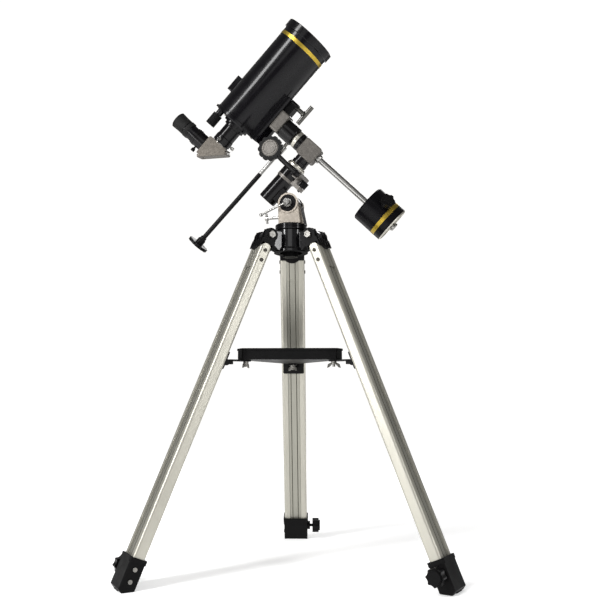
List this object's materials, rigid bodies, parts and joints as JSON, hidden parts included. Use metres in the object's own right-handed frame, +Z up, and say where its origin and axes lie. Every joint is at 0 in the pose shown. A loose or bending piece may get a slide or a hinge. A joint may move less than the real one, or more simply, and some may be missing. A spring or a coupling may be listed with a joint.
{
  "type": "maksutov telescope on an equatorial mount",
  "caption": "Short Maksutov tube on a small German equatorial mount, with counterweight, slow motion shafts and an aluminium tripod with tray.",
  "frame": {"origin": "middle of the footprint box, on the floor under the feet", "axes": "+Z up; one tripod leg points along +Y; the pole is 15 degrees from +X towards -Y"},
  "size_m": [0.5998, 0.534, 1.0587],
  "materials": {
    "hub_black": "gloss black paint",
    "moulded_black": "satin moulded plastic",
    "leg_aluminium": "brushed, clear anodised",
    "fastener_steel": "zinc plated",
    "casting_black": "satin black paint on die casting",
    "casting_grey": "warm grey hammered paint on die casting",
    "circle_silver": "satin machined",
    "bright_chrome": "polished",
    "knob_black": "satin",
    "brass_gear": "machined",
    "weight_iron": "satin black enamel",
    "tube_black": "satin black paint",
    "cable_steel": "close-wound wire",
    "optic_glass": "coated",
    "optic_mirror": "aluminised",
    "eyecup_rubber": "matt"
  },
  "bodies": {
    "tripod": {"tripod_hub": "hub_black", "leg_tops": "moulded_black", "tripod_fasteners": "fastener_steel", "leg_lock_housings": "moulded_black", "leg_a_rails": "leg_aluminium", "leg_b_rails": "leg_aluminium", "leg_c_rails": "leg_aluminium", "tray_brackets": "moulded_black", "tray_links": "moulded_black", "accessory_tray": "moulded_black"},
    "centre_bolt": {"head_centre_bolt": "fastener_steel"},
    "azimuth_head": {"azimuth_yoke": "casting_grey"},
    "latitude_lever": {"latitude_lock_lever": "bright_chrome"},
    "latitude_tee_screw": {"latitude_screw": "bright_chrome"},
    "polar_body": {"polar_housing": "casting_black", "ra_worm_bracket": "casting_grey"},
    "ra_clamp": {"ra_clamp_knob": "knob_black"},
    "ra_circle": {"ra_setting_circle": "circle_silver"},
    "ra_drive": {"ra_worm": "fastener_steel", "ra_cable": "cable_steel", "ra_cable_knob": "casting_grey"},
    "ra_body": {"ra_shaft": "fastener_steel", "ra_worm_wheel": "brass_gear", "t_block": "casting_grey", "dec_housing": "casting_black", "counterweight_rod": "bright_chrome"},
    "dec_circle": {"dec_setting_circle": "circle_silver"},
    "dec_drive": {"dec_worm": "fastener_steel", "dec_cable": "cable_steel", "dec_cable_knob": "knob_black"},
    "dec_body": {"dec_shaft": "fastener_steel", "dec_worm_wheel": "brass_gear", "saddle": "casting_grey"},
    "saddle_clamp": {"saddle_clamp_bolt": "bright_chrome"},
    "weight": {"counterweight": "weight_iron"},
    "weight_clamp": {"counterweight_lock_knob": "knob_black"},
    "rod_screw": {"rod_end_screw": "bright_chrome"},
    "telescope": {"optical_tube": "tube_black", "front_cell": "tube_black", "corrector_lens": "optic_glass", "rear_cell": "tube_black", "visual_back": "tube_black", "visual_back_screws": "fastener_steel", "dovetail_foot": "tube_black", "finder_shoe": "tube_black"},
    "mirror_carriage": {"primary_mirror": "optic_mirror"},
    "focuser": {"focus_knob": "knob_black"},
    "diagonal": {"diagonal_body": "casting_grey", "diagonal_mirror": "optic_mirror", "diagonal_cover": "casting_grey"},
    "ocular": {"eyepiece": "tube_black", "eyecup": "eyecup_rubber", "eyepiece_lens": "optic_glass"},
    "ocular_clamp": {"eyepiece_screw": "fastener_steel"},
    "leg_a": {"leg_a_inner": "leg_aluminium"},
    "leg_a_lock": {"leg_a_lock_knob": "knob_black"},
    "leg_b": {"leg_b_inner": "leg_aluminium"},
    "leg_b_lock": {"leg_b_lock_knob": "knob_black"},
    "leg_c": {"leg_c_inner": "leg_aluminium"},
    "leg_c_lock": {"leg_c_lock_knob": "knob_black"}
  },
  "joints": [
    {"name": "leg_a_extend", "type": "slide", "parent": "tripod", "child": "leg_a", "axis": [0, 0.3864, -0.9223], "range_m": [0, 0.42]},
    {"name": "leg_a_clamp", "type": "hinge", "parent": "tripod", "child": "leg_a_lock", "pos_m": [0.0427, 0.24232, 0.03009], "axis": [1, 0, 0], "range_deg": [0, 720]},
    {"name": "leg_b_extend", "type": "slide", "parent": "tripod", "child": "leg_b", "axis": [-0.3346, -0.1932, -0.9223], "range_m": [0, 0.42]},
    {"name": "leg_b_clamp", "type": "hinge", "parent": "tripod", "child": "leg_b_lock", "pos_m": [-0.28076, -0.17937, 0.03009], "axis": [-0.5, 0.866, 0], "range_deg": [0, 720]},
    {"name": "leg_c_extend", "type": "slide", "parent": "tripod", "child": "leg_c", "axis": [0.3346, -0.1932, -0.9223], "range_m": [0, 0.42]},
    {"name": "leg_c_clamp", "type": "hinge", "parent": "tripod", "child": "leg_c_lock", "pos_m": [0.24616, -0.24865, 0.03009], "axis": [-0.5, -0.866, 0], "range_deg": [0, 720]},
    {"name": "centre_bolt_turn", "type": "hinge", "parent": "tripod", "child": "centre_bolt", "pos_m": [0.0027, -0.0619, 0.6], "axis": [0, 0, -1], "range_deg": [0, 1080]},
    {"name": "azimuth", "type": "hinge", "parent": "tripod", "child": "azimuth_head", "pos_m": [0.0027, -0.0619, 0.6422], "axis": [0, 0, 1], "continuous": true},
    {"name": "latitude", "type": "hinge", "parent": "azimuth_head", "child": "polar_body", "pos_m": [0.0027, -0.0619, 0.695], "axis": [-0.2639, -0.9646, 0], "range_deg": [-20, 22]},
    {"name": "latitude_lock", "type": "hinge", "parent": "azimuth_head", "child": "latitude_lever", "pos_m": [0.0027, -0.0619, 0.695], "axis": [-0.2639, -0.9646, 0], "range_deg": [-60, 38]},
    {"name": "latitude_adjust", "type": "slide", "parent": "azimuth_head", "child": "latitude_tee_screw", "axis": [0.9646, -0.2639, 0], "range_m": [-0.0115, 0.0115]},
    {"name": "right_ascension", "type": "hinge", "parent": "polar_body", "child": "ra_body", "pos_m": [0.04135, -0.07247, 0.80283], "axis": [0.6761, -0.185, 0.7133], "range_deg": [-60, 60]},
    {"name": "ra_slow_motion", "type": "hinge", "parent": "polar_body", "child": "ra_drive", "pos_m": [0.02133, -0.067, 0.75033], "axis": [-0.2639, -0.9646, 0], "range_deg": [-2885, 2885]},
    {"name": "ra_clamp_turn", "type": "hinge", "parent": "polar_body", "child": "ra_clamp", "pos_m": [0.02693, -0.06853, 0.7334], "axis": [0.6761, -0.185, 0.7133], "range_deg": [0, 720]},
    {"name": "ra_circle_turn", "type": "hinge", "parent": "polar_body", "child": "ra_circle", "pos_m": [0.01228, -0.06452, 0.77216], "axis": [0.6761, -0.185, 0.7133], "continuous": true},
    {"name": "declination", "type": "hinge", "parent": "ra_body", "child": "dec_body", "pos_m": [-0.01046, -0.07486, 0.85132], "axis": [-0.7297, -0.0336, 0.6829], "range_deg": [-150, 30]},
    {"name": "dec_slow_motion", "type": "hinge", "parent": "ra_body", "child": "dec_drive", "pos_m": [0.00639, -0.05258, 0.84113], "axis": [-0.6761, 0.185, -0.7133], "range_deg": [-7205, 1445]},
    {"name": "dec_circle_turn", "type": "hinge", "parent": "ra_body", "child": "dec_circle", "pos_m": [0.01581, -0.07365, 0.82674], "axis": [-0.7297, -0.0336, 0.6829], "continuous": true},
    {"name": "saddle_clamp_turn", "type": "hinge", "parent": "dec_body", "child": "saddle_clamp", "pos_m": [0.03075, -0.08406, 0.87294], "axis": [-0.7297, -0.0336, 0.6829], "range_deg": [-720, 0]},
    {"name": "counterweight_slide", "type": "slide", "parent": "ra_body", "child": "weight", "axis": [-0.7297, -0.0336, 0.6829], "range_m": [0, 0.12]},
    {"name": "counterweight_clamp", "type": "hinge", "parent": "weight", "child": "weight_clamp", "pos_m": [0.18582, -0.1021, 0.68485], "axis": [0.2494, -0.9431, 0.2201], "range_deg": [0, 720]},
    {"name": "rod_screw_turn", "type": "hinge", "parent": "ra_body", "child": "rod_screw", "pos_m": [0.20334, -0.06502, 0.65122], "axis": [0.7297, 0.0336, -0.6829], "range_deg": [0, 1080]},
    {"name": "tube_slide", "type": "slide", "parent": "dec_body", "child": "telescope", "axis": [0.6725, -0.2157, 0.7079], "range_m": [-0.004, 0.03]},
    {"name": "mirror_focus", "type": "slide", "parent": "telescope", "child": "mirror_carriage", "axis": [0.6725, -0.2157, 0.7079], "range_m": [-0.005, 0.005]},
    {"name": "focus_turn", "type": "hinge", "parent": "telescope", "child": "focuser", "pos_m": [-0.13735, -0.07488, 0.88852], "axis": [0.6725, -0.2157, 0.7079], "range_deg": [-3605, 3605]},
    {"name": "diagonal_turn", "type": "hinge", "parent": "telescope", "child": "diagonal", "pos_m": [-0.14269, -0.05332, 0.8253], "axis": [0.6725, -0.2157, 0.7079], "range_deg": [-110, 110]},
    {"name": "eyepiece_slide", "type": "slide", "parent": "diagonal", "child": "ocular", "axis": [-0.7297, -0.0336, 0.6829], "range_m": [0, 0.024]},
    {"name": "eyepiece_clamp", "type": "hinge", "parent": "diagonal", "child": "ocular_clamp", "pos_m": [-0.19855, -0.04504, 0.81874], "axis": [-0.6725, 0.2157, -0.7079], "range_deg": [0, 720]}
  ],
  "couplings": [
    {"joint": "ra_slow_motion", "follows": "right_ascension", "ratio": 48},
    {"joint": "dec_slow_motion", "follows": "declination", "ratio": 48},
    {"joint": "focus_turn", "follows": "mirror_focus", "rad_per_m": 12566},
    {"joint": "latitude_adjust", "follows": "latitude", "m_per_rad": 0.023}
  ]
}
